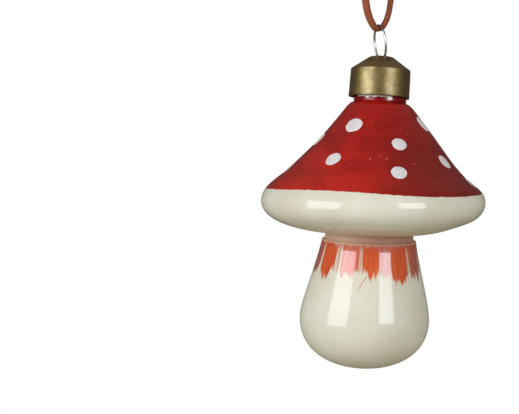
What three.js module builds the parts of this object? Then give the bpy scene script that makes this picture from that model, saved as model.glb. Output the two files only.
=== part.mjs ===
import * as THREE from 'three';

// Sizes in mm. The ornament hangs with +Z up from its origin, the point where a hook holds its lace.

// Fits
const fitGap = 0.3; // between pieces that touch on the real ornament
const neckPlay = 0.65; // between the crown's skirt and the glass neck

// Blown glass body
const glassWall = 1;
const capDiameter = 71.2; // at the rim
const capHeight = 31.4; // rim up to the foot of the neck
const capUnderside = 11.1; // rim down to the crease above the stem
const rimRoll = 5.3; // how far in from the rim the cone begins
const rimRise = 7.3; // how far above the rim the cone begins
const shoulderWidth = 3.9; // rounded step between the cone and the neck
const shoulderDrop = 3.5;
const neckDiameter = 16.7;
const neckLength = 10.6;
const neckShown = 1.8; // bare glass between the cap and the crown
const neckFillet = 0.5;
const stemLength = 42.6; // crease down to the lowest point
const stemDiameter = 41.5; // at the widest
const stemTopDiameter = 29.8;
const stemShoulder = 1.8; // height of the rounded top edge of the stem
const creaseDepth = 1.2; // crease cut in from the top of the stem
const creaseEdge = 0.4; // how sharply the stem's top edge turns into the crease
const bulbDepth = 16; // widest point down to the lowest point
const bulbSquareness = 2.24; // exponent of the rounded end's superellipse

// Directions of the glass outline at its joins, in degrees from straight out, going up the outline
const undersideSlope = 2;
const coneSlopeAtRim = 143;
const coneSlopeAtShoulder = 128;
const shoulderSlopeAtNeck = 165;
const stemSlopeAtTop = 99;
const straightUp = 90;

// How far the outline keeps those directions on each side of a join
const stemPullAtWidest = 4.8;
const stemPullAtTop = 8.1;
const undersidePullAtCrease = 9.9;
const undersidePullAtRim = 6.7;
const rimPull = 2.8;
const rimPullAtCone = 4.6;
const conePullAtRim = 6.8;
const conePullAtShoulder = 6.4;
const shoulderPullAtCone = 2.1;
const shoulderPullAtNeck = 1.1;

// Stamped metal crown
const crownSheet = 0.5;
const crownRise = 4.2; // height of the sloping top
const holeRim = 0.5; // flat ring round the hole in the top
const skirtEdge = 0.2; // outward lip along the skirt's lower edge
const skirtEdgeHeight = 0.6;

// Spring wire bail
const wireDiameter = 0.7;
const eyeWidth = 8; // between wire centres
const eyeHeight = 11.1; // full oval, between wire centres
const eyeLean = 11; // degrees that the eye leans over, towards -X, from the crown up
const footSpread = 4.8; // between wire centres where the bail goes through the crown
const legLength = 17; // inside the crown and the neck
const legStraight = 1.4; // leg that stays straight through the crown's hole
const legTip = 2.4; // length of the tip that turns back in
const legTipTurn = 0.6; // how far each tip turns back in

// Flat suede lace
const laceWidth = 3;
const laceThickness = 1.4;
const laceCorner = 0.3;
const tailLength = 11;
const tailSpread = 2.1;

// Lace loop from under the leaning bail up to the knot: height, middle of the two strands, half the
// distance between them
const laceLoop = [
  [-51, -1.9, 0],
  [-50.55, -1.93, 1.2],
  [-49.5, -2, 1.95],
  [-47.95, -2.12, 2.8],
  [-46.3, -2.25, 3.4],
  [-44.7, -2.37, 3.85],
  [-41.5, -2.6, 4.4],
  [-37, -2.85, 5],
  [-32, -2.85, 5.3],
  [-26, -2.5, 5.2],
  [-19, -1.85, 4.7],
  [-11, -1, 3.7],
  [-4, -0.35, 2.4],
  [1, -0.08, 1.5],
  [4.5, 0, 1.05],
];

// Knot that closes the lace
const knotDiameter = 7.6;
const knotHeight = 7.5;
const knotSquareness = 3;

// Facets
const glassFacets = 40;
const crownFacets = 40;
const bulbSegments = 9;
const lipSegments = 4;
const knotFacets = 16;
const knotSegments = 6;
const eyeSegments = 24;
const wireSides = 8;
const wireSteps = 64;
const loopSteps = 72;
const tailSteps = 5;

const suedeMaterial = new THREE.MeshStandardMaterial({ color: 0x8e4a33, roughness: 0.95, metalness: 0 });
const brassMaterial = new THREE.MeshStandardMaterial({ color: 0x8a744a, roughness: 0.38, metalness: 1 });
const steelMaterial = new THREE.MeshStandardMaterial({ color: 0xb0a58c, roughness: 0.3, metalness: 1 });
const glassMaterial = new THREE.MeshStandardMaterial({ color: 0xe2dec9, roughness: 0.08, metalness: 0 });

const ornament = new THREE.Group();

function addPiece(name, geometry, material) {
  const piece = new THREE.Mesh(geometry, material);
  piece.name = name;
  ornament.add(piece);
}

// A profile point: distance from the axis and height.
function at(radius, height) {
  return new THREE.Vector2(radius, height);
}

function turned(profile, facets) {
  return new THREE.LatheGeometry(profile, facets).rotateX(Math.PI / 2);
}

// A smooth stretch that leaves one point and arrives at the other in the given directions.
function stretch(from, fromDegrees, fromPull, to, toDegrees, toPull) {
  const heading = (degrees, pull) => {
    const angle = THREE.MathUtils.degToRad(degrees);
    return at(Math.cos(angle) * pull, Math.sin(angle) * pull);
  };
  const leave = from.clone().add(heading(fromDegrees, fromPull));
  const arrive = to.clone().sub(heading(toDegrees, toPull));
  return new THREE.CubicBezierCurve(from, leave, arrive, to);
}

// Quarter of a superellipse, from the axis below the centre out to the widest point.
function roundEnd(radius, depth, squareness, centre, count) {
  const points = [at(0, centre - depth)];
  for (let i = 1; i <= count; i++) {
    const angle = (i / count) * (Math.PI / 2);
    const out = Math.sin(angle) ** (2 / squareness);
    const down = i < count ? Math.cos(angle) ** (2 / squareness) : 0;
    points.push(at(radius * out, centre - depth * down));
  }
  return points;
}

// Lace section: a flat strip with its corners cut, wide along the first axis.
function laceSection() {
  const w = laceWidth / 2;
  const t = laceThickness / 2;
  const section = new THREE.Shape();
  section.moveTo(w - laceCorner, t);
  section.lineTo(-w + laceCorner, t);
  section.lineTo(-w, t - laceCorner);
  section.lineTo(-w, -t + laceCorner);
  section.lineTo(-w + laceCorner, -t);
  section.lineTo(w - laceCorner, -t);
  section.lineTo(w, -t + laceCorner);
  section.lineTo(w, t - laceCorner);
  section.closePath();
  return section;
}

function laceAlong(points, steps) {
  const path = new THREE.CatmullRomCurve3(points);
  return new THREE.ExtrudeGeometry(laceSection(), { steps, bevelEnabled: false, extrudePath: path });
}

// Lace loop: down one side, under the bail and up the other side.
const rightStrand = laceLoop.map(([z, middle, half]) => new THREE.Vector3(middle + half, 0, z));
const leftStrand = laceLoop.slice(1).map(([z, middle, half]) => new THREE.Vector3(middle - half, 0, z));
addPiece('cord_loop', laceAlong([...leftStrand.reverse(), ...rightStrand], loopSteps), suedeMaterial);

// Knot, just above the loop's ends, and the two tails that come out of its top.
const loopBottom = rightStrand[0];
const loopEnd = rightStrand[rightStrand.length - 1];
const knotBottom = loopEnd.z + fitGap;
const knotMiddle = knotBottom + knotHeight / 2;
const knotTop = knotBottom + knotHeight;
const knotLower = roundEnd(knotDiameter / 2, knotHeight / 2, knotSquareness, knotMiddle, knotSegments);
const knotUpper = knotLower.slice(0, -1).map((p) => at(p.x, 2 * knotMiddle - p.y)).reverse();
addPiece('cord_knot', turned([...knotLower, ...knotUpper], knotFacets), suedeMaterial);

for (const [name, side] of [['cord_tail_left', -1], ['cord_tail_right', 1]]) {
  const start = new THREE.Vector3(side * loopEnd.x, 0, knotTop + fitGap);
  const middle = new THREE.Vector3(side * (loopEnd.x + tailSpread / 3), 0, start.z + tailLength / 2);
  const end = new THREE.Vector3(side * (loopEnd.x + tailSpread), 0, start.z + tailLength);
  addPiece(name, laceAlong([start, middle, end], tailSteps), suedeMaterial);
}

// Bail: one wire, an oval eye over the lace and two legs that spring apart inside the neck.
// The eye's top is curved, so it rides clear of the lace's flat edges, and it leans over to the lace.
const wireRadius = wireDiameter / 2;
const eyeHalfWidth = eyeWidth / 2;
const eyeHalfHeight = eyeHeight / 2;
const laceFlat = laceWidth / 2 - laceCorner;
const eyeDropOverLace = eyeHalfHeight * (1 - Math.sqrt(1 - (laceFlat / eyeHalfWidth) ** 2));
const eyeTop = loopBottom.z + laceThickness / 2 + fitGap + eyeDropOverLace + wireRadius;
const foot = footSpread / 2;
const footAngle = Math.asin(foot / eyeHalfWidth);
const eyeShown = eyeHalfHeight * (1 + Math.cos(footAngle));
const lean = THREE.MathUtils.degToRad(eyeLean);
const crownTop = eyeTop - eyeShown * Math.cos(lean);

const neckRadius = neckDiameter / 2;
const boreRadius = neckRadius - glassWall;
const legReach = boreRadius - fitGap - wireRadius;

const legBend = crownTop - legLength + legTip;

function bailLeg(side) {
  return [
    new THREE.Vector3(0, side * (legReach - legTipTurn), crownTop - legLength),
    new THREE.Vector3(0, side * legReach, legBend),
    new THREE.Vector3(0, side * (legReach + foot) / 2, (legBend + crownTop - legStraight) / 2),
    new THREE.Vector3(0, side * foot, crownTop - legStraight),
  ];
}

const eyePoints = [];
for (let i = 0; i <= eyeSegments; i++) {
  const angle = footAngle + (i / eyeSegments) * (2 * Math.PI - 2 * footAngle);
  const y = eyeHalfWidth * Math.sin(angle);
  const rise = eyeHalfHeight * (Math.cos(footAngle) - Math.cos(angle));
  eyePoints.push(new THREE.Vector3(-rise * Math.sin(lean), y, crownTop + rise * Math.cos(lean)));
}
const bailPath = new THREE.CatmullRomCurve3([...bailLeg(1), ...eyePoints, ...bailLeg(-1).reverse()]);
const wireSection = new THREE.Shape();
for (let i = 0; i < wireSides; i++) {
  const angle = (i / wireSides) * 2 * Math.PI;
  const x = wireRadius * Math.cos(angle);
  const y = wireRadius * Math.sin(angle);
  if (i === 0) wireSection.moveTo(x, y);
  else wireSection.lineTo(x, y);
}
wireSection.closePath();
addPiece(
  'wire_bail',
  new THREE.ExtrudeGeometry(wireSection, { steps: wireSteps, bevelEnabled: false, extrudePath: bailPath }),
  steelMaterial,
);

// Crown: one stamped shell with a sloping top, a straight skirt and a round hole for the bail.
const crownRadius = neckRadius + neckPlay + crownSheet;
const skirtInside = crownRadius - crownSheet;
const holeRadius = foot + wireRadius + fitGap;
const flatRadius = holeRadius + holeRim;
const slope = crownRise / (crownRadius - flatRadius);
const sheetDrop = crownSheet * Math.sqrt(1 + slope * slope);
// Height of the roof's inner face above a given radius.
const roofInside = (radius) => crownTop - sheetDrop - slope * (radius - flatRadius);
const neckTop = roofInside(neckRadius) - fitGap;
const neckFoot = neckTop - neckLength;
const skirtBottom = neckFoot + neckShown;
const flatInside = flatRadius - (sheetDrop - crownSheet) / slope;
addPiece(
  'crown_cap',
  turned(
    [
      at(skirtInside, skirtBottom),
      at(crownRadius + skirtEdge, skirtBottom),
      at(crownRadius + skirtEdge, skirtBottom + skirtEdgeHeight / 2),
      at(crownRadius, skirtBottom + skirtEdgeHeight),
      at(crownRadius, crownTop - crownRise),
      at(flatRadius, crownTop),
      at(holeRadius, crownTop),
      at(holeRadius, crownTop - crownSheet),
      at(flatInside, crownTop - crownSheet),
      at(skirtInside, roofInside(skirtInside)),
      at(skirtInside, skirtBottom),
    ],
    crownFacets,
  ),
  brassMaterial,
);

// Glass body: one blown shell, the outline from the lowest point up to the mouth and back inside.
const capRadius = capDiameter / 2;
const stemRadius = stemDiameter / 2;
const stemTopRadius = stemTopDiameter / 2;
const rim = at(capRadius, neckFoot - capHeight);
const crease = at(stemTopRadius - creaseDepth, rim.y - capUnderside);
const stemTop = at(stemTopRadius, crease.y - stemShoulder);
const stemEnd = crease.y - stemLength;
const stemWidest = at(stemRadius, stemEnd + bulbDepth);
const coneFoot = at(capRadius - rimRoll, rim.y + rimRise);
const shoulder = at(neckRadius + shoulderWidth, neckFoot - shoulderDrop);
const neckCorner = at(neckRadius + neckFillet, neckFoot);
const neckStart = at(neckRadius, neckFoot + neckFillet);
const lipRadius = glassWall / 2;

// The outline's stretches above the rounded end, each with its number of segments.
const outlineStretches = [
  [stretch(stemWidest, straightUp, stemPullAtWidest, stemTop, stemSlopeAtTop, stemPullAtTop), 4],
  [new THREE.QuadraticBezierCurve(stemTop, at(stemTopRadius, crease.y - creaseEdge), crease), 2],
  [stretch(crease, undersideSlope, undersidePullAtCrease, rim, straightUp, undersidePullAtRim), 7],
  [stretch(rim, straightUp, rimPull, coneFoot, coneSlopeAtRim, rimPullAtCone), 4],
  [stretch(coneFoot, coneSlopeAtRim, conePullAtRim, shoulder, coneSlopeAtShoulder, conePullAtShoulder), 4],
  [
    stretch(
      shoulder, coneSlopeAtShoulder, shoulderPullAtCone,
      neckCorner, shoulderSlopeAtNeck, shoulderPullAtNeck,
    ),
    3,
  ],
  [new THREE.QuadraticBezierCurve(neckCorner, at(neckRadius, neckFoot), neckStart), 2],
];
const outside = roundEnd(stemRadius, bulbDepth, bulbSquareness, stemWidest.y, bulbSegments);
for (const [curve, segments] of outlineStretches) {
  outside.push(...curve.getPoints(segments).slice(1));
}
outside.push(at(neckRadius, neckTop - lipRadius));

// The same outline, moved inwards by the wall.
function insetBy(outline, wall) {
  return outline.map((point, i) => {
    if (i === 0) return at(0, point.y + wall);
    const before = outline[i - 1];
    const after = outline[Math.min(i + 1, outline.length - 1)];
    const along = after.clone().sub(before).normalize();
    return at(point.x - along.y * wall, point.y + along.x * wall);
  });
}

const inside = insetBy(outside, glassWall).reverse();
const lip = [];
for (let i = 1; i < lipSegments; i++) {
  const angle = (i / lipSegments) * Math.PI;
  const out = neckRadius - lipRadius + lipRadius * Math.cos(angle);
  lip.push(at(out, neckTop - lipRadius + lipRadius * Math.sin(angle)));
}
addPiece('glass_body', turned([...outside, ...lip, ...inside], glassFacets), glassMaterial);

export default ornament;
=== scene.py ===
import math

import bmesh
import bpy
from mathutils import Matrix, Vector, noise
from mathutils.geometry import interpolate_bezier


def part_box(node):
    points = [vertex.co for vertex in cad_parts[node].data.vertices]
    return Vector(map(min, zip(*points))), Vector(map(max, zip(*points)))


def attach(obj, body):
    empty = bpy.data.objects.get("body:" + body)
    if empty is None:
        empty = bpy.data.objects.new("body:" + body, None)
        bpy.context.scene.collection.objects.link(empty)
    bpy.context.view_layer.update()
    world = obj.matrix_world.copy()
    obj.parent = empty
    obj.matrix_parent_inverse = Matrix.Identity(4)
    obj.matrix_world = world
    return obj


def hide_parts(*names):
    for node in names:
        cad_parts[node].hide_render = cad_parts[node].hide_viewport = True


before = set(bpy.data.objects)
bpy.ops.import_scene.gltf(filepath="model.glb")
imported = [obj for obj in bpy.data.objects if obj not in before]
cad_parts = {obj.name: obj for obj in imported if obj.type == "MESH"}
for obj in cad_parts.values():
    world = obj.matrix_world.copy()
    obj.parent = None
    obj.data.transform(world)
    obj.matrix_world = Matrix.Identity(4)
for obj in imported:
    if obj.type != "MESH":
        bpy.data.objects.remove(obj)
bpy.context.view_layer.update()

# Camera. A long lens just above the cap's rim, to the left of the lace loop's own plane. It is rolled a
# little and aimed past the ornament, which so leans to the right and hangs right of the picture's middle.
picture_width = 519
picture_height = 414
focal_pixels = 900
metres_per_pixel = 0.0003248
rim_pixel = Vector((371.6, 201.0))
camera_azimuth = math.radians(-25)
camera_elevation = math.radians(1.4)
camera_roll = math.radians(3.9)
rim_above_end = 0.0537

glass_low, glass_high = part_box("glass_body")
rim_centre = Vector((0, 0, glass_low.z + rim_above_end))
front = Vector((math.sin(camera_azimuth), -math.cos(camera_azimuth), 0))
towards_camera = front * math.cos(camera_elevation) + Vector((0, 0, math.sin(camera_elevation)))
level_right = Vector((0, 0, 1)).cross(front)
level_up = towards_camera.cross(level_right)
right = level_right * math.cos(camera_roll) + level_up * math.sin(camera_roll)
up = level_up * math.cos(camera_roll) - level_right * math.sin(camera_roll)
facing = Matrix((right, up, towards_camera)).transposed()
seen_at = Vector((rim_pixel.x - picture_width / 2, picture_height / 2 - rim_pixel.y, -focal_pixels))
aim = seen_at.rotation_difference(Vector((0, 0, -1))).to_matrix()

camera_data = bpy.data.cameras.new("photo_camera")
camera_data.sensor_width = 36
camera_data.lens = camera_data.sensor_width * focal_pixels / picture_width
camera_data.clip_start = 0.01
camera = bpy.data.objects.new("photo_camera", camera_data)
camera.matrix_world = (facing @ aim).to_4x4()
camera.location = rim_centre + towards_camera * focal_pixels * metres_per_pixel
bpy.context.scene.collection.objects.link(camera)
bpy.context.scene.camera = camera


# Lace loop. One flat suede lace, cut from a hide and dyed brown, doubled through the bail's eye. Its two
# strands rise from the bight under the wire to the knot that closes the loop.
lace_width = 0.003
lace_thickness = 0.0014
lace_squareness = 5
lace_sides = 20
# Each row is a height, the middle between the two strands there, and each strand's way from that middle
lace_loop = [
    (-0.051, -0.0019, 0), (-0.05055, -0.00193, 0.0012), (-0.0495, -0.002, 0.00195),
    (-0.04795, -0.00212, 0.0028), (-0.0463, -0.00225, 0.0034), (-0.0447, -0.00237, 0.00385),
    (-0.0415, -0.0026, 0.0044), (-0.037, -0.00285, 0.005), (-0.032, -0.00285, 0.0053),
    (-0.026, -0.0025, 0.0052), (-0.019, -0.00185, 0.0047), (-0.011, -0.001, 0.0037),
    (-0.004, -0.00035, 0.0024), (0.001, -0.00008, 0.0015), (0.0045, 0, 0.00105),
]
loop_steps = 8
bight_lift = 0.0004
bight_reach = 0.0035
strand_twist = math.radians(-5)
loose_twist = math.radians(8)
twist_wavelength = 0.024
twist_change_across = 100
twist_seed = 0.5


def smooth_route(points, steps):
    """Points on one smooth curve through the given points, with so many steps between each two."""
    points = [Vector(point) for point in points]
    before = points[:1] + points[:-1]
    after = points[1:] + points[-1:]
    headings = [(later - earlier).normalized() for earlier, later in zip(before, after)]
    route = points[:1]
    for i in range(len(points) - 1):
        pull = (points[i + 1] - points[i]).length / 3
        leave = points[i] + headings[i] * pull
        arrive = points[i + 1] - headings[i + 1] * pull
        route += interpolate_bezier(points[i], leave, arrive, points[i + 1], steps + 1)[1:]
    return route


def headings_along(route):
    """The direction of travel at each point of a route."""
    before = route[:1] + route[:-1]
    after = route[1:] + route[-1:]
    return [(later - earlier).normalized() for earlier, later in zip(before, after)]


def placed(centre, wide, heading):
    """A matrix that puts a flat section at a point, its width along one direction, square to a heading."""
    through = heading.cross(wide).normalized()
    wide = through.cross(heading).normalized()
    return Matrix.Translation(centre) @ Matrix((wide, through, heading)).transposed().to_4x4()


def finished(name, mesh_data, sharp_degrees=40):
    """A bmesh made into an object of the scene, smooth but for its sharp edges."""
    mesh = bpy.data.meshes.new(name)
    mesh_data.to_mesh(mesh)
    mesh_data.free()
    mesh.shade_smooth()
    mesh.set_sharp_from_angle(angle=math.radians(sharp_degrees))
    piece = bpy.data.objects.new(name, mesh)
    bpy.context.scene.collection.objects.link(piece)
    return piece


def swept(strip, stations, width, thickness, squareness, sides):
    """Adds a strip to a bmesh: a section carried along stations, which are a placing matrix each. Its
    points keep how far across the strip they lie, from -1 to 1."""
    across = strip.verts.layers.float.get("across") or strip.verts.layers.float.new("across")
    end = bmesh.ops.create_circle(strip, cap_ends=True, segments=sides, radius=1)["verts"]
    for corner in end:
        x, y = corner.co.x, corner.co.y
        reach = (abs(x) ** squareness + abs(y) ** squareness) ** (-1 / squareness)
        corner[across] = x * reach
        corner.co = (x * reach * width / 2, y * reach * thickness / 2, 0)
    bmesh.ops.transform(strip, matrix=stations[0], verts=end)
    cap = end[0].link_faces[0]
    for earlier, later in zip(stations, stations[1:]):
        grown = bmesh.ops.extrude_face_region(strip, geom=[cap])["geom"]
        cap = next(g for g in grown if isinstance(g, bmesh.types.BMFace))
        end = [g for g in grown if isinstance(g, bmesh.types.BMVert)]
        bmesh.ops.transform(strip, matrix=later @ earlier.inverted(), verts=end)


right_strand = [Vector((middle + half, 0, z)) for z, middle, half in lace_loop]
left_strand = [Vector((middle - half, 0, z)) for z, middle, half in lace_loop[:0:-1]]
loop_route = smooth_route(left_strand + right_strand, loop_steps)
bight_height = lace_loop[0][0]
for point in loop_route:
    point.z += bight_lift * math.exp(-((point.z - bight_height) / bight_reach) ** 2)

loop_stations = []
for point, heading in zip(loop_route, headings_along(loop_route)):
    free = min(1, max(0, (point.z - bight_height) / (2 * bight_reach)))
    waver = noise.noise((point.x * twist_change_across, twist_seed, point.z / twist_wavelength))
    twist = strand_twist + loose_twist * waver
    turn = Matrix.Rotation(twist * free, 3, heading)
    loop_stations.append(placed(point, turn @ Vector((0, 1, 0)), heading))

lace_mesh = bmesh.new()
swept(lace_mesh, loop_stations, lace_width, lace_thickness, lace_squareness, lace_sides)
bmesh.ops.recalc_face_normals(lace_mesh, faces=lace_mesh.faces)
lace = finished("suede_lace_loop", lace_mesh, sharp_degrees=60)


def new_material(name):
    """A material with its node tree and its shader node."""
    material = bpy.data.materials.new(name)
    material.use_nodes = True
    return material, material.node_tree, material.node_tree.nodes["Principled BSDF"]


def put(tree, kind, inputs, **settings):
    """A new node, its inputs set to values or joined to other nodes' outputs."""
    new = tree.nodes.new("ShaderNode" + kind)
    for setting, value in settings.items():
        setattr(new, setting, value)
    for socket, value in inputs.items():
        if isinstance(value, bpy.types.NodeSocket):
            tree.links.new(value, new.inputs[socket])
        else:
            new.inputs[socket].default_value = value
    return new


def place_on(tree):
    """The place on a piece, in metres from the frame's origin."""
    return put(tree, "TexCoord", {}).outputs["Object"]


def marked(tree, name):
    """A number kept on the points of a piece."""
    return put(tree, "Attribute", {}, attribute_name=name).outputs["Fac"]


def reckon(tree, operation, first, second=0.0):
    """The outcome of a sum on numbers or sockets."""
    return put(tree, "Math", {0: first, 1: second}, operation=operation).outputs[0]


def between(tree, value, low, high):
    """Goes smoothly from 0 at low to 1 at high."""
    limits = {"Value": value, "From Min": low, "From Max": high}
    return put(tree, "MapRange", limits, interpolation_type="SMOOTHSTEP").outputs["Result"]


def mottle(tree, place, scale, detail=2.0, roughness=0.5):
    """Soft cloudy noise, mostly from 0.3 to 0.7."""
    cloud = {"Vector": place, "Scale": scale, "Detail": detail, "Roughness": roughness}
    return put(tree, "TexNoise", cloud).outputs["Fac"]


def mixed(tree, share, first, second):
    """The first colour at share 0, the second at 1."""
    return put(tree, "Mix", {0: share, 6: first, 7: second}, data_type="RGBA").outputs[2]


def tinted(tree, base, mask, strength, tint):
    """A base colour with a tint laid over it where the mask is 1, at a strength."""
    return mixed(tree, reckon(tree, "MULTIPLY", mask, strength), base, tint)


def colour(red, green, blue):
    """A colour as a screen shows it, in parts of 255, as the renderer takes it."""
    def linear(part):
        part /= 255
        return part / 12.92 if part < 0.04045 else ((part + 0.055) / 1.055) ** 2.4
    return (linear(red), linear(green), linear(blue), 1)


suede, tree, shader = new_material("suede")
place = place_on(tree)
from_middle = reckon(tree, "ABSOLUTE", marked(tree, "across"))
cut_edge = between(tree, from_middle, 0.72, 1.0)
nap = mottle(tree, place, 2600, 3, 0.6)
stroked = mottle(tree, place, 240, 2)
hide = mixed(tree, between(tree, stroked, 0.3, 0.7), colour(128, 62, 38), colour(158, 86, 56))
hide = mixed(tree, between(tree, nap, 0.35, 0.75), hide, colour(176, 104, 72))
hide = tinted(tree, hide, cut_edge, 0.3, colour(110, 46, 30))
tree.links.new(hide, shader.inputs["Base Color"])
shader.inputs["Roughness"].default_value = 0.95
shader.inputs["Specular IOR Level"].default_value = 0.2
shader.inputs["Sheen Weight"].default_value = 0.15
shader.inputs["Sheen Roughness"].default_value = 0.5
shader.inputs["Sheen Tint"].default_value = colour(230, 180, 150)
nap_relief = put(tree, "Bump", {"Height": nap, "Strength": 0.5, "Distance": 0.0001})
tree.links.new(nap_relief.outputs["Normal"], shader.inputs["Normal"])

lace.data.materials.append(suede)
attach(lace, "cord")
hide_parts("cord_loop")


# Knot. The two ends of the lace tied together in one overhand knot and pulled tight: both strands run up
# through it to short cut tails, and one and a half turns of the lace lie round them.
strand_apart = 0.55 * lace_thickness
strand_apart_inside = 0.52 * lace_thickness
strand_entry = 0.001
strand_steps = 8
tail_bend = 0.3
tail_bend_aside = 0.0003
tail_end_aside = 0.0009
tail_short = 0.0003
tail_curl = 40
wrap_clear = 0.0001
wrap_room = 1.05 * lace_width
wrap_tuck = 0.0012
wrap_tuck_share = 0.12
wrap_start = -0.6
wrap_turns = 1.55
wrap_steps = 72
wrap_tilt = math.radians(9)

knot_low, knot_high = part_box("cord_knot")
tail_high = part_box("cord_tail_right")[1]
loop_end, strand_offset = lace_loop[-1][0], lace_loop[-1][2]
knot_middle = Vector((0, 0, (knot_low.z + knot_high.z) / 2))
wrap_radius = knot_high.x - lace_thickness / 2 - wrap_clear
wrap_rise = knot_high.z - knot_low.z - wrap_room
wrap_angle = wrap_turns * 2 * math.pi
wrap_climb = wrap_rise / (wrap_angle * wrap_radius)
tail_spread = tail_high.x - lace_thickness / 2 - strand_offset

knot_mesh = bmesh.new()
for side in (-1, 1):
    strand = smooth_route([
        Vector((side * strand_offset, 0, loop_end)),
        Vector((side * strand_apart, 0, knot_low.z + strand_entry)),
        Vector((side * strand_apart_inside, 0, knot_middle.z)),
        Vector((side * strand_apart, 0, knot_high.z)),
        Vector((
            side * (strand_offset + tail_spread * tail_bend), side * tail_bend_aside,
            (knot_high.z + tail_high.z) / 2,
        )),
        Vector((side * (strand_offset + tail_spread), side * tail_end_aside, tail_high.z - tail_short)),
    ], strand_steps)
    strand_stations = []
    for point, heading in zip(strand, headings_along(strand)):
        curl = Matrix.Rotation(side * max(0, point.z - knot_high.z) * tail_curl, 3, heading)
        strand_stations.append(placed(point, curl @ Vector((0, 1, 0)), heading))
    swept(knot_mesh, strand_stations, lace_width, lace_thickness, lace_squareness, lace_sides)

wrap_stations = []
tilt = Matrix.Rotation(wrap_tilt, 3, Vector((1, 0, 0)))
for step in range(wrap_steps + 1):
    share = step / wrap_steps
    turned_by = share * wrap_angle + wrap_start
    tucked = min(1, share / wrap_tuck_share, (1 - share) / wrap_tuck_share)
    out = Vector((math.cos(turned_by), math.sin(turned_by), 0))
    round_heading = Vector((-math.sin(turned_by), math.cos(turned_by), 0))
    heading = (round_heading + Vector((0, 0, wrap_climb))).normalized()
    centre = out * (wrap_radius - wrap_tuck * (1 - tucked) ** 2)
    centre.z = (share - 0.5) * wrap_rise
    wide = out.cross(heading)
    wrap_stations.append(placed(knot_middle + tilt @ centre, tilt @ wide, tilt @ heading))
swept(knot_mesh, wrap_stations, lace_width, lace_thickness, lace_squareness, lace_sides)
bmesh.ops.recalc_face_normals(knot_mesh, faces=knot_mesh.faces)
knot = finished("suede_knot", knot_mesh, sharp_degrees=60)
knot.data.materials.append(suede)
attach(knot, "cord")
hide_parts("cord_knot", "cord_tail_left", "cord_tail_right")


# Bail. One length of polished spring wire, bent into an oval eye that hangs on the lace and leans a little.
# Its two legs go down through the crown's hole and spring apart inside the neck, which holds the crown on.
wire_diameter = 0.0007
wire_roundness = 2
wire_sides = 16
wire_steps = 4
eye_half_width = 0.004
eye_half_height = 0.00555
eye_lean = math.radians(11)
eye_steps = 40
foot_out = 0.0024
leg_length = 0.017
leg_straight = 0.0014
leg_tip = 0.0024
leg_tip_turn = 0.0006
leg_give = 0.0004

bail_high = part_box("wire_bail")[1]
crown_low, crown_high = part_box("crown_cap")
crown_top = crown_high.z
foot_angle = math.asin(foot_out / eye_half_width)
leg_out = bail_high.y - wire_diameter / 2 - leg_give
leg_end = crown_top - leg_length
leg_bend = leg_end + leg_tip

eye = []
for step in range(eye_steps + 1):
    angle = foot_angle + step / eye_steps * 2 * (math.pi - foot_angle)
    rise = eye_half_height * (math.cos(foot_angle) - math.cos(angle))
    aside = eye_half_width * math.sin(angle)
    eye.append((-rise * math.sin(eye_lean), aside, crown_top + rise * math.cos(eye_lean)))
leg = [
    (0, leg_out - leg_tip_turn, leg_end),
    (0, leg_out, leg_bend),
    (0, (leg_out + foot_out) / 2, (leg_bend + crown_top - leg_straight) / 2),
    (0, foot_out, crown_top - leg_straight),
]
other_leg = [(x, -y, z) for x, y, z in reversed(leg)]
wire_route = smooth_route(leg + eye + other_leg, wire_steps)
wire_stations = []
for point, heading in zip(wire_route, headings_along(wire_route)):
    wire_stations.append(placed(point, Vector((1, 0, 0)), heading))
wire_mesh = bmesh.new()
swept(wire_mesh, wire_stations, wire_diameter, wire_diameter, wire_roundness, wire_sides)
bmesh.ops.recalc_face_normals(wire_mesh, faces=wire_mesh.faces)
bail = finished("wire_bail_bent", wire_mesh, sharp_degrees=60)

spring_wire, tree, shader = new_material("spring_wire")
place = place_on(tree)
handled = mottle(tree, place, 300, 3)
wire_colour = mixed(tree, between(tree, handled, 0.35, 0.7), colour(214, 210, 200), colour(168, 160, 144))
tree.links.new(wire_colour, shader.inputs["Base Color"])
shader.inputs["Metallic"].default_value = 1
worn = reckon(tree, "ADD", reckon(tree, "MULTIPLY", handled, 0.25), 0.12)
tree.links.new(worn, shader.inputs["Roughness"])
bail.data.materials.append(spring_wire)
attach(bail, "bail")
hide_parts("wire_bail")


# Crown. One cup stamped from brass-plated sheet and darkened to look old, with a sloping top, a skirt that
# opens a little downwards and a round hole. It sits over the glass neck, and the bail's legs keep it there.
crown_sheet = 0.0005
crown_rise = 0.0042
hole_rim = 0.0005
hole_dip = 0.00005
slope_ease = 0.0011
skirt_edge = 0.0002
skirt_rings = 6
crown_steps = 96
crown_dent = 0.00005
dents_per_metre = 220
dent_from_hole = 0.003
hole_play = 0.0003
slope_ease_steps = 7
skirt_head_round = 0.00028
skirt_foot_round = 0.00012
hole_round = 0.00018
same_point = 1e-7

skirt_bottom = crown_low.z
skirt_top = crown_top - crown_rise
crown_radius = crown_high.x - skirt_edge
skirt_inside = crown_radius - crown_sheet
hole_radius = foot_out + wire_diameter / 2 + hole_play
flat_radius = hole_radius + hole_rim
crown_slope = crown_rise / (crown_radius - flat_radius)
sheet_drop = crown_sheet * math.sqrt(1 + crown_slope ** 2)


def corner_at(radius, height):
    """A point of an outline, in the plane that is turned round the axis."""
    return Vector((radius, 0, height))


def bent(start, corner, end, steps):
    """The outline's points round a corner that is eased away."""
    leave = start + (corner - start) * 2 / 3
    arrive = end + (corner - end) * 2 / 3
    return interpolate_bezier(start, leave, arrive, end, steps + 1)[1:]


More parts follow.
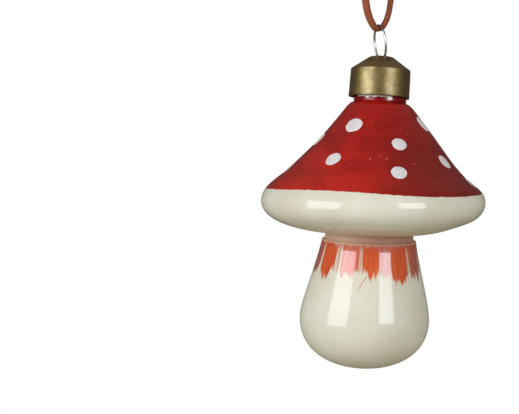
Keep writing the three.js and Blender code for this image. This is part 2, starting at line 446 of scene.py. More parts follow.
def turned(outline, steps, closed=False):
    """A bmesh made by turning an outline of radius and height once round the axis."""
    shape = bmesh.new()
    corners = [shape.verts.new((radius, 0, height)) for radius, height in outline]
    edges = [shape.edges.new(pair) for pair in zip(corners, corners[1:])]
    if closed:
        edges.append(shape.edges.new((corners[-1], corners[0])))
    bmesh.ops.spin(
        shape, geom=corners + edges, cent=(0, 0, 0), axis=(0, 0, 1), angle=2 * math.pi, steps=steps,
        use_merge=True,
    )
    bmesh.ops.remove_doubles(shape, verts=shape.verts, dist=same_point)
    bmesh.ops.recalc_face_normals(shape, faces=shape.faces)
    return shape


skirt_foot = (crown_radius + skirt_edge, skirt_bottom)
skirt_head = (crown_radius, skirt_top)
slope_head = corner_at(flat_radius, crown_top)
slope_length = math.hypot(crown_radius - flat_radius, crown_rise)
slope_start = slope_head.lerp(corner_at(crown_radius, skirt_top), slope_ease / slope_length)
hole_edge = (hole_radius, crown_top - hole_dip)
slope_end = bent(slope_start, slope_head, corner_at(*hole_edge), slope_ease_steps)
crown_outline = [(skirt_inside, skirt_bottom), skirt_foot]
for step in range(1, skirt_rings):
    share = step / skirt_rings
    out = crown_radius + skirt_edge * (1 - share)
    crown_outline.append((out, skirt_bottom + (skirt_top - skirt_bottom) * share))
crown_outline += [skirt_head] + [(point.x, point.z) for point in [slope_start] + slope_end]
crown_outline += [
    (hole_radius, crown_top - crown_sheet),
    (flat_radius - (sheet_drop - crown_sheet) / crown_slope, crown_top - crown_sheet),
    (skirt_inside, crown_top - sheet_drop - crown_slope * (skirt_inside - flat_radius)),
]
crown_mesh = turned(crown_outline, crown_steps, closed=True)


def rounded(shape, corner, width, segments):
    """Rounds the edges that run round a turned shape at one corner of its outline."""
    ring = []
    for edge in shape.edges:
        off = [math.hypot(end.co.xy.length - corner[0], end.co.z - corner[1]) for end in edge.verts]
        if max(off) < 10 * same_point:
            ring.append(edge)
    bmesh.ops.bevel(
        shape, geom=ring, offset=width, offset_type="OFFSET", affect="EDGES", segments=segments, profile=0.5,
        material=-1,
    )


rounded(crown_mesh, skirt_head, skirt_head_round, 4)
rounded(crown_mesh, skirt_foot, skirt_foot_round, 3)
rounded(crown_mesh, hole_edge, hole_round, 3)
for corner in crown_mesh.verts:
    out = corner.co.xy.length
    away = min(1, max(0, (out - hole_radius) / dent_from_hole))
    corner.co.xy += corner.co.xy / out * (noise.noise(corner.co * dents_per_metre) * crown_dent * away)
crown = finished("stamped_crown", crown_mesh, sharp_degrees=50)


def level_part(tree, place):
    """A place's height, and the place with its height taken away."""
    parts = put(tree, "SeparateXYZ", {"Vector": place}).outputs
    return parts["Z"], put(tree, "CombineXYZ", {"X": parts["X"], "Y": parts["Y"]}).outputs[0]


antique_brass, tree, shader = new_material("antique_brass")
slope_tint_from, slope_tint_full = 0.0001, 0.0005
stain_reach, stain_full = 0.0085, 0.005
edge_shade_from, edge_shade_full = 0.0004, 0.0001
place = place_on(tree)
height, flat_place = level_part(tree, place)
from_axis = put(tree, "VectorMath", {0: flat_place}, operation="LENGTH").outputs["Value"]
tarnish = mottle(tree, place, 330, 4, 0.6)
grain = mottle(tree, put(tree, "Mapping", {"Vector": place, "Scale": (1, 1, 5)}).outputs[0], 1500, 3, 0.6)
speck = between(tree, mottle(tree, place, 2400, 1), 0.64, 0.72)
brass = mixed(tree, between(tree, tarnish, 0.36, 0.66), colour(154, 133, 83), colour(136, 115, 67))
brass = tinted(tree, brass, between(tree, grain, 0.45, 0.8), 0.5, colour(96, 76, 44))
sloping = between(tree, height, skirt_top + slope_tint_from, skirt_top + slope_tint_full)
brass = tinted(tree, brass, sloping, 0.5, colour(160, 134, 98))
stain = between(tree, mottle(tree, place, 420, 3, 0.6), 0.46, 0.54)
stained = reckon(tree, "MULTIPLY", between(tree, from_axis, stain_reach, stain_full), stain)
brass = tinted(tree, brass, stained, 0.85, colour(94, 66, 12))
# Painted shade: a dark line along the skirt's lower edge
low_edge_shade = between(tree, height, skirt_bottom + edge_shade_from, skirt_bottom + edge_shade_full)
brass = tinted(tree, brass, low_edge_shade, 0.8, colour(48, 38, 22))
brass = tinted(tree, brass, speck, 0.6, colour(196, 178, 132))
tree.links.new(brass, shader.inputs["Base Color"])
shader.inputs["Metallic"].default_value = 1
satin = reckon(tree, "ADD", reckon(tree, "MULTIPLY", tarnish, 0.24), 0.36)
tree.links.new(satin, shader.inputs["Roughness"])
coat = reckon(tree, "SUBTRACT", 0.6, reckon(tree, "MULTIPLY", sloping, 0.5))
tree.links.new(coat, shader.inputs["Coat Weight"])
shader.inputs["Coat Roughness"].default_value = 0.25
grain_relief = put(tree, "Bump", {"Height": grain, "Strength": 0.25, "Distance": 0.0001})
tree.links.new(grain_relief.outputs["Normal"], shader.inputs["Normal"])
crown.data.materials.append(antique_brass)
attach(crown, "crown")
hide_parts("crown_cap")


# Glass body. Cap, stem and neck blown as one hollow shell, open only at the neck. It is dipped in ivory,
# brushed red over the cone of the cap and orange round the top of the stem, and lacquered.
glass_wall = 0.001
cap_radius = 0.0356
cap_height = 0.0314
cap_underside = 0.0111
rim_roll = 0.0053
rim_rise = 0.0073
shoulder_width = 0.0039
shoulder_drop = 0.0035
neck_radius = 0.00835
neck_length = 0.0106
neck_fillet = 0.0005
stem_length = 0.0426
stem_radius = 0.02075
stem_top_radius = 0.0149
stem_shoulder = 0.0018
stem_lip = 0.0002
crease_depth = 0.0008
ledge_rise = 0.0006
ledge_round = 0.0005
groove_height = 0.00125
groove_round = 0.0012
bulb_depth = 0.016
bulb_squareness = 2.24
bulb_steps = 26
bulb_pull = 0.0048
stem_top_pull = 0.0081
stem_top_heading = 99
underside_heading = 2
underside_pull = 0.009
rim_pull_below = 0.0067
rim_pull_above = 0.0028
cone_heading = 143
cone_foot_pull = 0.0046
cone_pull_low = 0.0068
cone_pull_high = 0.0064
shoulder_heading = 128
shoulder_pull = 0.0021
neck_heading = 165
neck_pull = 0.0011
straight_up = 90
lip_steps = 6
glass_steps = 240

neck_top = glass_high.z
neck_foot = neck_top - neck_length
lip_radius = glass_wall / 2


def stretch(start, start_degrees, start_pull, end, end_degrees, end_pull, steps):
    """The outline's points from one point to another, leaving and arriving in given directions."""
    def heading(degrees):
        return Vector((math.cos(math.radians(degrees)), 0, math.sin(math.radians(degrees))))
    leave = start + heading(start_degrees) * start_pull
    arrive = end - heading(end_degrees) * end_pull
    return interpolate_bezier(start, leave, arrive, end, steps + 1)[1:]


rim = corner_at(cap_radius, neck_foot - cap_height)
crease = corner_at(stem_top_radius - crease_depth, rim.z - cap_underside)
groove_top = corner_at(crease.x + groove_round, crease.z + groove_height)
stem_top = corner_at(stem_top_radius + stem_lip, crease.z - stem_shoulder)
ledge = corner_at(crease.x + ledge_round, stem_top.z + ledge_rise)
stem_end = crease.z - stem_length
stem_widest = corner_at(stem_radius, stem_end + bulb_depth)
cone_foot = corner_at(cap_radius - rim_roll, rim.z + rim_rise)
shoulder = corner_at(neck_radius + shoulder_width, neck_foot - shoulder_drop)
neck_corner = corner_at(neck_radius + neck_fillet, neck_foot)
neck_start = corner_at(neck_radius, neck_foot + neck_fillet)

outside = [corner_at(0, stem_end)]
for step in range(1, bulb_steps + 1):
    angle = step / bulb_steps * math.pi / 2
    out = math.sin(angle) ** (2 / bulb_squareness)
    down = max(0, math.cos(angle)) ** (2 / bulb_squareness)
    outside.append(corner_at(stem_radius * out, stem_widest.z - bulb_depth * down))
outside += stretch(stem_widest, straight_up, bulb_pull, stem_top, stem_top_heading, stem_top_pull, 14)
outside += bent(stem_top, corner_at(stem_top.x, ledge.z), ledge, 4)
outside += bent(ledge, corner_at(crease.x, ledge.z), crease, 4)
outside += bent(crease, corner_at(crease.x, groove_top.z), groove_top, 6)
outside += stretch(groove_top, underside_heading, underside_pull, rim, straight_up, rim_pull_below, 24)
outside += stretch(rim, straight_up, rim_pull_above, cone_foot, cone_heading, cone_foot_pull, 14)
outside += stretch(cone_foot, cone_heading, cone_pull_low, shoulder, shoulder_heading, cone_pull_high, 16)
outside += stretch(shoulder, shoulder_heading, shoulder_pull, neck_corner, neck_heading, neck_pull, 8)
outside += bent(neck_corner, corner_at(neck_radius, neck_foot), neck_start, 4)
outside.append(corner_at(neck_radius, neck_top - lip_radius))

lip = []
for step in range(1, lip_steps):
    angle = step / lip_steps * math.pi
    out = neck_radius - lip_radius + lip_radius * math.cos(angle)
    lip.append(corner_at(out, neck_top - lip_radius + lip_radius * math.sin(angle)))

inside = [corner_at(0, stem_end + glass_wall)]
for before, point, after in zip(outside, outside[1:], outside[2:] + outside[-1:]):
    along = (after - before).normalized()
    inside.append(point + Vector((-along.z, 0, along.x)) * glass_wall)
inside = inside[:-1:2] + inside[-1:]
inside.reverse()

glass_outline = [(point.x, point.z) for point in outside + lip + inside]
glass_mesh = turned(glass_outline, glass_steps)

# How the blown shell departs from that outline: how far it sways, leans or is flattened, where, and over
# what reach
body_aside = -0.00007
cone_sway, cone_sway_height, cone_sway_reach = 0.00117, 0.021, 0.0121
stem_sway, stem_sway_height, stem_sway_reach = 0.00025, 0.022, 0.014
rim_lean_right, rim_lean_front = 0.00155, -0.0014
lean_reach_up, lean_reach_down = 0.0099, 0.0265
end_lean, end_lean_reach = 0.022, 0.009
flat_lift, flat_out, flat_reach, flat_below_rim = 0.0006, 0.027, 0.0065, 0.006
blown_unevenness, waves_per_metre = 0.00012, 45


def bell(distance, reach):
    """Falls smoothly from 1 towards 0 as a distance passes a reach."""
    return math.exp(-(distance / reach) ** 2)


def as_blown(point):
    """A point of the true outline moved as the hand-blown shell departs from it: an axis that isn't quite
    straight, a rim and an end that aren't quite square to it, one flatter side and an uneven wall."""
    aside = body_aside + cone_sway * bell(point.z - rim.z - cone_sway_height, cone_sway_reach)
    aside += stem_sway * bell(point.z - stem_end - stem_sway_height, stem_sway_reach)
    lean = (rim_lean_right * point.dot(level_right) + rim_lean_front * point.dot(front)) / cap_radius
    lean *= bell(point.z - rim.z, lean_reach_up if point.z > rim.z else lean_reach_down)
    lean += end_lean * point.dot(level_right) * bell(point.z - stem_end, end_lean_reach)
    if crease.z < point.z < rim.z:
        flatter = flat_lift * min(1, (rim.z - point.z) / flat_below_rim)
        lean += flatter * bell(point.dot(level_right) - flat_out, flat_reach)
    below_neck = min(1, max(0, (neck_foot - shoulder_drop - point.z) / shoulder_drop))
    out = Vector((point.x, point.y, 0)).normalized() * blown_unevenness * below_neck
    return point + level_right * aside + Vector((0, 0, lean)) + out * noise.noise(point * waves_per_metre)


# The collar's brush strokes: degrees to the right of the camera's side, half the width in degrees, length,
# how well the paint covers, and how dark it is; the darkest, at the stem's sides as the camera sees them, are
# painted shade
collar_strokes = [
    (-75, 12.5, 0.0118, 0.9, 0.8), (-48.5, 11.5, 0.0127, 1, 0), (-19.4, 10.4, 0.012, 0.88, 0.12),
    (3.2, 9, 0.0114, 1, 0), (19.4, 6.9, 0.0116, 0.8, 0.5), (37.2, 11.2, 0.014, 1, 0.1),
    (63, 11.5, 0.0118, 0.9, 0.75), (87, 10.5, 0.0112, 0.9, 0.9), (112, 12, 0.013, 1, 0.3),
    (139, 11.5, 0.0116, 0.75, 0), (165, 11.5, 0.0134, 1, 0.2), (-170, 11, 0.0112, 0.9, 0.5),
    (-145, 11.5, 0.0128, 1, 0), (-122, 9.5, 0.0118, 0.8, 0.3), (-100, 10, 0.013, 0.95, 0.7),
]
stroke_taper = 0.16
camera_turn = math.atan2(front.y, front.x)


def degrees_apart(turn, degrees):
    """How far a turn round the axis is from so many degrees to the right of the camera's side, in degrees."""
    return math.degrees(math.remainder(turn - camera_turn - math.radians(degrees), 2 * math.pi))


def stroke_at(turn):
    """How far down the orange reaches from the crease at a turn, how well it covers, how dark it is."""
    reaches = [(0, 0, 0)]
    for degrees, half_width, length, cover, darkness in collar_strokes:
        off = abs(degrees_apart(turn, degrees)) / half_width
        if off < 1:
            reaches.append((length * (1 - stroke_taper * off ** 2), cover, darkness))
    return max(reaches)


# The red's lower edge: degrees to the right of the camera's side where it rises or dips, and by how much
red_edge_height = 0.0035
red_edge_reach = 26
red_edge_waves = [
    (-42, 0.0003), (-21, 0.00055), (0, 0.0003), (37, -0.0002), (104, 0.0004), (150, -0.0003),
    (-158, 0.0005), (-112, -0.0003),
]

# Pale gaps under the crown, where the enamel ends on the neck: degrees, half the width in degrees, depth
neck_gaps = [
    (-19, 37, 0.0003), (-29, 3.5, 0.0008), (-13, 2.5, 0.0006), (-9, 2, 0.0005), (22.5, 5.5, 0.0011),
    (112, 28, 0.0003), (118, 4, 0.0009), (168, 5, 0.0011), (-150, 24, 0.0003), (-128, 3, 0.0009),
]
hidden_edge = 0.001


def red_edge(turn):
    """The height where the red ends on the cap, at a turn round the axis."""
    waves = sum(rise * bell(degrees_apart(turn, degrees), red_edge_reach) for degrees, rise in red_edge_waves)
    return rim.z + red_edge_height + waves


def gap_edge(turn):
    """The height where the red ends on the neck, at a turn round the axis."""
    depths = [depth for degrees, half, depth in neck_gaps if abs(degrees_apart(turn, degrees)) < half]
    return skirt_bottom - max(depths, default=-hidden_edge)


collar_reach = glass_mesh.verts.layers.float.new("collar_reach")
collar_cover = glass_mesh.verts.layers.float.new("collar_cover")
collar_darkness = glass_mesh.verts.layers.float.new("collar_darkness")
above_red_edge = glass_mesh.verts.layers.float.new("above_red_edge")
above_gap_edge = glass_mesh.verts.layers.float.new("above_gap_edge")
below_crease = glass_mesh.verts.layers.float.new("below_crease")
for corner in glass_mesh.verts:
    turn = math.atan2(corner.co.y, corner.co.x)
    corner[collar_reach], corner[collar_cover], corner[collar_darkness] = stroke_at(turn)
    corner[above_red_edge] = corner.co.z - red_edge(turn)
    corner[above_gap_edge] = corner.co.z - gap_edge(turn)
    corner[below_crease] = crease.z - corner.co.z
    corner.co = as_blown(corner.co)
glass = finished("blown_glass_body", glass_mesh, sharp_degrees=50)

painted_glass, tree, shader = new_material("painted_glass")
place = place_on(tree)
height, flat_place = level_part(tree, place)
around = put(tree, "VectorMath", {0: flat_place}, operation="NORMALIZE").outputs[0]
lift = put(tree, "CombineXYZ", {"Z": height}).outputs[0]


def round_and_up(tree, around_scale, up_scale):
    """A place that goes round the axis at one scale and up it at another, with no seam."""
    turned_place = put(tree, "VectorMath", {0: around, "Scale": around_scale}, operation="SCALE").outputs[0]
    lifted = put(tree, "VectorMath", {0: lift, "Scale": up_scale}, operation="SCALE").outputs[0]
    return put(tree, "VectorMath", {0: turned_place, 1: lifted}, operation="ADD").outputs[0]


def share_along(tree, vector, way):
    """How far a vector goes along a way."""
    return put(tree, "VectorMath", {0: vector, 1: way}, operation="DOT_PRODUCT").outputs["Value"]


clouds = mottle(tree, place, 70, 2)
ivory = mixed(tree, between(tree, clouds, 0.3, 0.7), colour(233, 228, 208), colour(226, 219, 196))

# Pinholes in the ivory low on the stem: degrees to the right of the camera's side, and height above its end
pinholes = [(29.8, 0.0099), (33.2, 0.0109), (38.8, 0.0123), (41.2, 0.0128)]
pinhole_radius = 0.0002
for degrees, pinhole_height in pinholes:
    down = 1 - pinhole_height / bulb_depth
    out = stem_radius * (1 - down ** bulb_squareness) ** (1 / bulb_squareness)
    turn = camera_turn + math.radians(degrees)
    pinhole = as_blown(Vector((out * math.cos(turn), out * math.sin(turn), stem_end + pinhole_height)))
    away = put(tree, "VectorMath", {0: place, 1: pinhole}, operation="DISTANCE").outputs["Value"]
    pitted = between(tree, away, pinhole_radius, pinhole_radius / 2)
    ivory = tinted(tree, ivory, pitted, 0.8, colour(96, 78, 56))

# Red enamel, put on in strokes that go round the cone, brighter lower down with a patchy boundary. Painted
# shade darkens its right side and its left edge as the camera sees them, the left one higher up.
paler_full, paler_end, paler_patch = 0.01, 0.026, 0.02
shade_turn = math.radians(55)
right_shade_top, right_shade_full = 0.027, 0.008
left_shade_top, left_shade_full = 0.025, 0.015
neck_shade_start, neck_shade_full = neck_foot - rim.z - 0.0045, neck_foot - rim.z - 0.003
edge_ripple, edge_soft = 0.0006, 0.00006
gap_rag_size, gap_soft = 0.0006, 0.00005
shade_way = front * math.cos(shade_turn) + level_right * math.sin(shade_turn)
over_line = marked(tree, "above_red_edge")
over_gaps = marked(tree, "above_gap_edge")
strokes = mottle(tree, round_and_up(tree, 2.6, 1500), 1.0, 3, 0.6)
patches = mottle(tree, round_and_up(tree, 3.2, 190), 1.0, 3)
paler_low = reckon(tree, "ADD", over_line, reckon(tree, "MULTIPLY", patches, paler_patch))
red = mixed(tree, between(tree, paler_low, paler_full, paler_end), colour(191, 32, 21), colour(159, 16, 12))
red = tinted(tree, red, between(tree, strokes, 0.42, 0.66), 0.6, colour(182, 26, 18))
red = tinted(tree, red, between(tree, patches, 0.44, 0.62), 0.26, colour(122, 9, 9))
# Painted shade on the cone's right side
right_shade_side = share_along(tree, around, shade_way)
right_shade = between(tree, over_line, right_shade_top, right_shade_full)
right_shade = reckon(tree, "MULTIPLY", between(tree, right_shade_side, 0.4, 0.95), right_shade)
red = tinted(tree, red, right_shade, 0.7, colour(104, 14, 10))
# Painted shade along the cone's left edge, as the camera sees it
rightward = share_along(tree, around, level_right)
left_edge_shade = between(tree, over_line, left_shade_top, left_shade_full)
left_edge_shade = reckon(tree, "MULTIPLY", between(tree, rightward, -0.86, -1.0), left_edge_shade)
red = tinted(tree, red, left_edge_shade, 0.55, colour(92, 18, 10))
# Painted shade: the red on the neck under the crown is made darker
neck_shade = between(tree, over_line, neck_shade_start, neck_shade_full)
red = tinted(tree, red, neck_shade, 0.95, colour(118, 0, 1))
speck = between(tree, mottle(tree, place, 1100, 0), 0.885, 0.9)
red = tinted(tree, red, speck, 0.5, colour(226, 170, 160))
ripple = reckon(tree, "SUBTRACT", mottle(tree, round_and_up(tree, 14, 0), 1.0, 3, 0.6), 0.5)
over_line = reckon(tree, "ADD", over_line, reckon(tree, "MULTIPLY", ripple, edge_ripple))
is_red = between(tree, over_line, -edge_soft, edge_soft)
gap_rag = reckon(tree, "SUBTRACT", mottle(tree, place, 1800, 2), 0.5)
over_gaps = reckon(tree, "ADD", over_gaps, reckon(tree, "MULTIPLY", gap_rag, gap_rag_size))
is_red = reckon(tree, "SUBTRACT", is_red, between(tree, over_gaps, -gap_soft, gap_soft))

# Orange strokes round the stem's top, with ragged ends, the ivory showing between them. Depths are below
# the crease, and those above it are negative.
end_rag, end_bare, end_full = 0.0065, -0.0002, 0.0009
top_rag, top_bare, top_full = 0.002, 0.0018, 0.0024
dull_top, dull_top_full, dull_low_full, dull_low = -0.0045, -0.003, 0.0036, 0.004
groove_tint_top, groove_tint_top_full, groove_tint_low_full, groove_tint_low = -0.0016, -0.0011, 0.0022, 0.0034
hair_bare, hair_start, hair_end = 0.0016, 0.002, 0.0115
hair_full, fine_hair_full = 0.0095, 0.0085
hair_thinning, fine_hair_thinning = 12.0, 14.0
reach = marked(tree, "collar_reach")
cover = marked(tree, "collar_cover")
darkness = marked(tree, "collar_darkness")
tufts = mottle(tree, round_and_up(tree, 10, 30), 1.0, 2)
bristles = mottle(tree, round_and_up(tree, 27, 90), 1.0, 3, 0.65)
fine_bristles = mottle(tree, round_and_up(tree, 70, 160), 1.0, 2)
rag = reckon(tree, "ADD", reckon(tree, "MULTIPLY", tufts, 1.2), bristles)
rag = reckon(tree, "ADD", rag, reckon(tree, "MULTIPLY", fine_bristles, 0.5))
rag = reckon(tree, "SUBTRACT", rag, 1.35)
depth = marked(tree, "below_crease")
ragged_end = reckon(tree, "ADD", reach, reckon(tree, "MULTIPLY", rag, end_rag))
covered = between(tree, reckon(tree, "SUBTRACT", ragged_end, depth), end_bare, end_full)
ragged_top = reckon(tree, "ADD", depth, reckon(tree, "MULTIPLY", rag, top_rag))
covered = reckon(tree, "MULTIPLY", covered, between(tree, ragged_top, top_bare, top_full))
is_orange = reckon(tree, "MULTIPLY", covered, cover)
orange = mixed(tree, between(tree, bristles, 0.3, 0.7), colour(206, 76, 34), colour(228, 108, 62))
dull = between(tree, depth, dull_low, dull_low_full)
dull = reckon(tree, "MULTIPLY", between(tree, depth, dull_top, dull_top_full), dull)
orange = tinted(tree, orange, dull, 0.4, colour(198, 66, 20))
# Darker strokes, most at the stem's sides as the camera sees them, where the darkening is painted shade
deep = reckon(tree, "MULTIPLY", darkness, between(tree, fine_bristles, 0.3, 0.6))
orange = mixed(tree, deep, orange, colour(136, 44, 38))

# A pinkish-brown tint in the groove and just under it: partly smeared orange paint, partly painted shade and
# a painted reflection of the orange strokes, and browner to the right as painted shade
groove_tint_and_shade = between(tree, depth, groove_tint_low, groove_tint_low_full)
groove_tint_and_shade = reckon(tree, "MULTIPLY", between(tree, depth, groove_tint_top, groove_tint_top_full), groove_tint_and_shade)
groove_tint_and_shade_colour = mixed(tree, between(tree, rightward, -0.7, 0.3), colour(214, 168, 134), colour(190, 122, 90))
paint = tinted(tree, ivory, groove_tint_and_shade, 0.75, groove_tint_and_shade_colour)
hairs = mottle(tree, round_and_up(tree, 26, 20), 1.0, 1)
hairs = reckon(tree, "SUBTRACT", hairs, reckon(tree, "MULTIPLY", depth, hair_thinning))
below_groove = between(tree, depth, hair_bare, hair_start)
hairs = reckon(tree, "MULTIPLY", between(tree, hairs, 0.46, 0.52), below_groove)
hairs = reckon(tree, "MULTIPLY", hairs, between(tree, depth, hair_end, hair_full))
paint = tinted(tree, paint, hairs, 0.65, colour(176, 84, 52))
fine_hairs = reckon(tree, "MULTIPLY", depth, fine_hair_thinning)
fine_hairs = reckon(tree, "SUBTRACT", fine_bristles, fine_hairs)
fine_hairs = reckon(tree, "MULTIPLY", between(tree, fine_hairs, 0.38, 0.46), below_groove)
fine_hairs = reckon(tree, "MULTIPLY", fine_hairs, between(tree, depth, hair_end, fine_hair_full))
paint = tinted(tree, paint, fine_hairs, 0.5, colour(204, 112, 74))
paint = mixed(tree, is_orange, paint, orange)

# One bristle strayed below the strokes and left a slanting line
stray_top = rim.z - 0.0228
stray_end = rim.z - 0.0272
stray_aside, stray_slant = -0.00006, 0.533
stray_edge, stray_full = 0.00018, 0.00006
stray_end_fade, stray_top_fade = 0.0012, 0.0004
aside = share_along(tree, place, level_right)
line = reckon(tree, "MULTIPLY", reckon(tree, "SUBTRACT", height, stray_top), stray_slant)
off_line = reckon(tree, "SUBTRACT", reckon(tree, "SUBTRACT", aside, line), stray_aside)
stray = between(tree, reckon(tree, "ABSOLUTE", off_line), stray_edge, stray_full)
stray = reckon(tree, "MULTIPLY", stray, between(tree, height, stray_end, stray_end + stray_end_fade))
stray = reckon(tree, "MULTIPLY", stray, between(tree, height, stray_top + stray_top_fade, stray_top))
frontward = share_along(tree, around, front)
stray = reckon(tree, "MULTIPLY", stray, between(tree, frontward, 0.0, 0.1))
paint = tinted(tree, paint, stray, 0.85, colour(206, 84, 44))
paint = mixed(tree, is_red, paint, red)
tree.links.new(paint, shader.inputs["Base Color"])

# Lacquer over it all, glossy on the ivory and the orange, satin on the red and dull in the groove
ivory_roughness, red_rougher, groove_rougher = 0.11, 0.16, 0.4
roughness = reckon(tree, "ADD", ivory_roughness, reckon(tree, "MULTIPLY", is_red, red_rougher))
roughness = reckon(tree, "ADD", roughness, reckon(tree, "MULTIPLY", dull, groove_rougher))
tree.links.new(roughness, shader.inputs["Roughness"])
shader.inputs["IOR"].default_value = 1.46
lacquered = reckon(tree, "MULTIPLY", is_orange, reckon(tree, "SUBTRACT", 1.0, dull))
tree.links.new(lacquered, shader.inputs["Coat Weight"])
shader.inputs["Coat Roughness"].default_value = 0.09
relief = reckon(tree, "MULTIPLY", strokes, is_red)
relief = reckon(tree, "ADD", relief, reckon(tree, "MULTIPLY", is_orange, 0.6))
paint_relief = put(tree, "Bump", {"Height": relief, "Strength": 0.15, "Distance": 0.0001})
tree.links.new(paint_relief.outputs["Normal"], shader.inputs["Normal"])
glass.data.materials.append(painted_glass)
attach(glass, "glass")
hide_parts("glass_body")


# Dots. Thick off-white paint, dabbed on the red by hand in two uneven rings, granular and nearly matt.
# Each lies on the cone as a low cushion with a rounded edge.
dot_thickness = 0.00016
dot_sunk = 0.00003
dot_corners = 28
dot_insets = (0.06, 0.14, 0.3, 0.3)
dot_edge_curve = 5
dot_unevenness = 0.07
lumps_per_metre = 900
slope_reach = 0.0005
cone = [point for point in outside if rim.z < point.z < neck_foot]


def cone_radius(height):
    """The cap's radius at a height on its cone."""
    for lower, upper in zip(cone, cone[1:]):
        if lower.z <= height <= upper.z:
            share = (height - lower.z) / (upper.z - lower.z)
            return lower.x + (upper.x - lower.x) * share
    return cone[0].x if height < cone[0].z else cone[-1].x


# Degrees to the right of the camera's side, height above the rim, and radius
dots = [
    (-30.4, 0.0232, 0.0029), (17.5, 0.0180, 0.0024), (68, 0.0252, 0.0029), (121, 0.0190, 0.0026),
    (172, 0.0243, 0.0027), (-137, 0.0188, 0.0028), (-76, 0.0187, 0.0028), (-31.5, 0.0126, 0.0025),
    (14.7, 0.00975, 0.0025), (59.9, 0.0137, 0.0027), (79, 0.0072, 0.0028), (112, 0.0094, 0.0026),
    (160, 0.0133, 0.0028), (-142, 0.0092, 0.0026), (-82, 0.0096, 0.0027),
]
dots_mesh = bmesh.new()
placed_corners = set()
for degrees, dot_height, dot_radius in dots:
    middle_turn = camera_turn + math.radians(degrees)
    middle_height = rim.z + dot_height
    radius_below = cone_radius(middle_height - slope_reach)
    radius_above = cone_radius(middle_height + slope_reach)
    slope = math.atan2(2 * slope_reach, radius_below - radius_above)
    disc = bmesh.ops.create_circle(dots_mesh, cap_ends=True, segments=dot_corners, radius=dot_radius)["verts"]
    face = disc[0].link_faces[0]
    for share in dot_insets:
        bmesh.ops.inset_region(dots_mesh, faces=[face], thickness=dot_radius * share, use_boundary=True)
    for corner in set(dots_mesh.verts) - placed_corners:
        x, y = corner.co.x, corner.co.y
        share = min(1, math.hypot(x, y) / dot_radius)
        seed = Vector((degrees, 0, dot_height * lumps_per_metre))
        uneven = 1 + dot_unevenness * noise.noise(Vector((x, y, 0)) * lumps_per_metre + seed) * share
        up_cone = y * uneven * math.sin(slope)
        radius = cone_radius(middle_height + up_cone)
        turn_here = middle_turn + x * uneven / radius
        rise = dot_thickness * (1 - share ** dot_edge_curve) - dot_sunk
        across = Vector((math.cos(turn_here), math.sin(turn_here), 0))
        on_cone = as_blown(across * radius + Vector((0, 0, middle_height + up_cone)))
        corner.co = on_cone + (across * math.sin(slope) + Vector((0, 0, math.cos(slope)))) * rise
    placed_corners = set(dots_mesh.verts)
bmesh.ops.recalc_face_normals(dots_mesh, faces=dots_mesh.faces)
cap_dots = finished("cap_dots", dots_mesh, sharp_degrees=60)

dot_paint, tree, shader = new_material("dot_paint")
place = place_on(tree)
grains = mottle(tree, place, 2600, 2, 0.6)
thin = mottle(tree, place, 420, 2)
white = mixed(tree, between(tree, grains, 0.35, 0.65), colour(219, 208, 205), colour(244, 239, 236))
white = tinted(tree, white, between(tree, thin, 0.5, 0.75), 0.4, colour(211, 195, 197))
tree.links.new(white, shader.inputs["Base Color"])
shader.inputs["Roughness"].default_value = 0.6
grain_relief = put(tree, "Bump", {"Height": grains, "Strength": 0.5, "Distance": 0.0001})
tree.links.new(grain_relief.outputs["Normal"], shader.inputs["Normal"])
cap_dots.data.materials.append(dot_paint)
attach(cap_dots, "glass")


# Floor. A wide sheet of pale matt paper, well below the hanging ornament. It keeps the ornament's soft
# shadow under it, and further out the camera sees it as plain white.
floor_drop = 1.4
floor_half = 4.0
shadow_radius, white_radius = 0.05, 0.16
pure_white = (1, 1, 1, 1)
floor_mesh = bmesh.new()
bmesh.ops.create_grid(floor_mesh, x_segments=1, y_segments=1, size=floor_half)
bmesh.ops.translate(floor_mesh, verts=floor_mesh.verts, vec=(0, 0, stem_end - floor_drop))
floor = finished("floor", floor_mesh)
floor_paper, tree, shader = new_material("floor_paper")
shader.inputs["Base Color"].default_value = colour(230, 224, 200)
shader.inputs["Roughness"].default_value = 0.9
shader.inputs["Specular IOR Level"].default_value = 0
flat_place = level_part(tree, place_on(tree))[1]
from_axis = put(tree, "VectorMath", {0: flat_place}, operation="LENGTH").outputs["Value"]
rays = put(tree, "LightPath", {}).outputs
seen = reckon(tree, "MAXIMUM", rays["Is Camera Ray"], rays["Is Transmission Ray"])
seen = reckon(tree, "MULTIPLY", seen, between(tree, from_axis, shadow_radius, white_radius))
white_sheet = put(tree, "Emission", {"Color": pure_white, "Strength": 1.0}).outputs[0]
paper = put(tree, "MixShader", {0: seen, 1: shader.outputs[0], 2: white_sheet}).outputs[0]
tree.links.new(paper, tree.nodes["Material Output"].inputs["Surface"])
floor.data.materials.append(floor_paper)


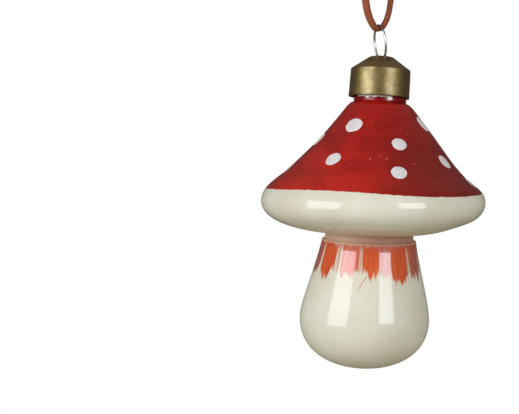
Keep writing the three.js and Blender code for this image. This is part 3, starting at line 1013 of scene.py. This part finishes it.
# Lights. Two softboxes in front, left and right of the camera, the left one larger and the right one
# brighter, in a room that is white behind the ornament and dim elsewhere.
light_distance = 0.9
lamp_colour = (0.95, 1, 1.1)
dim_side, dim_above = (0.09, 0.086, 0.075, 1), (0.26, 0.245, 0.21, 1)
light_in_front, light_from_back = (0.22, 0.206, 0.172, 1), (0.55, 0.53, 0.46, 1)


def softbox(name, degrees, lift_degrees, width, tall, radiance):
    """A soft rectangular lamp at so many degrees to the right of the camera, turned to the ornament."""
    turn = math.radians(degrees)
    rise = math.radians(lift_degrees)
    way = front * math.cos(turn) + level_right * math.sin(turn)
    direction = way * math.cos(rise) + Vector((0, 0, math.sin(rise)))
    lamp_data = bpy.data.lights.new(name, "AREA")
    lamp_data.shape = "RECTANGLE"
    lamp_data.size = width
    lamp_data.size_y = tall
    lamp_data.energy = radiance * math.pi * width * tall
    lamp_data.color = lamp_colour
    lamp = bpy.data.objects.new(name, lamp_data)
    lamp.location = rim_centre + direction * light_distance
    lamp.rotation_mode = "QUATERNION"
    lamp.rotation_quaternion = direction.to_track_quat("Z", "Y")
    bpy.context.scene.collection.objects.link(lamp)


softbox("left_softbox", degrees=-48, lift_degrees=8, width=0.6, tall=0.61, radiance=5.15)
softbox("right_softbox", degrees=40.3, lift_degrees=15, width=0.415, tall=0.46, radiance=6.2)

world = bpy.data.worlds.new("studio")
bpy.context.scene.world = world
world.use_nodes = True
tree = world.node_tree
background = tree.nodes["Background"]
rays = put(tree, "LightPath", {}).outputs
direction = put(tree, "TexCoord", {}).outputs["Generated"]
overhead = put(tree, "SeparateXYZ", {"Vector": direction}).outputs["Z"]
behind = share_along(tree, direction, -towards_camera)
dim_room = mixed(tree, between(tree, overhead, 0.35, 0.9), dim_side, dim_above)
room_seen = mixed(tree, between(tree, behind, 0.9995, 0.99999), dim_room, pure_white)
from_back = reckon(tree, "MULTIPLY", between(tree, behind, 0.0, 0.9), between(tree, overhead, -0.1, 0.4))
room_light = mixed(tree, from_back, light_in_front, light_from_back)
ambient = mixed(tree, rays["Is Glossy Ray"], room_light, room_seen)
seen = reckon(tree, "MAXIMUM", rays["Is Camera Ray"], rays["Is Transmission Ray"])
tree.links.new(mixed(tree, seen, ambient, pure_white), background.inputs["Color"])

bpy.context.scene.view_settings.view_transform = "Standard"
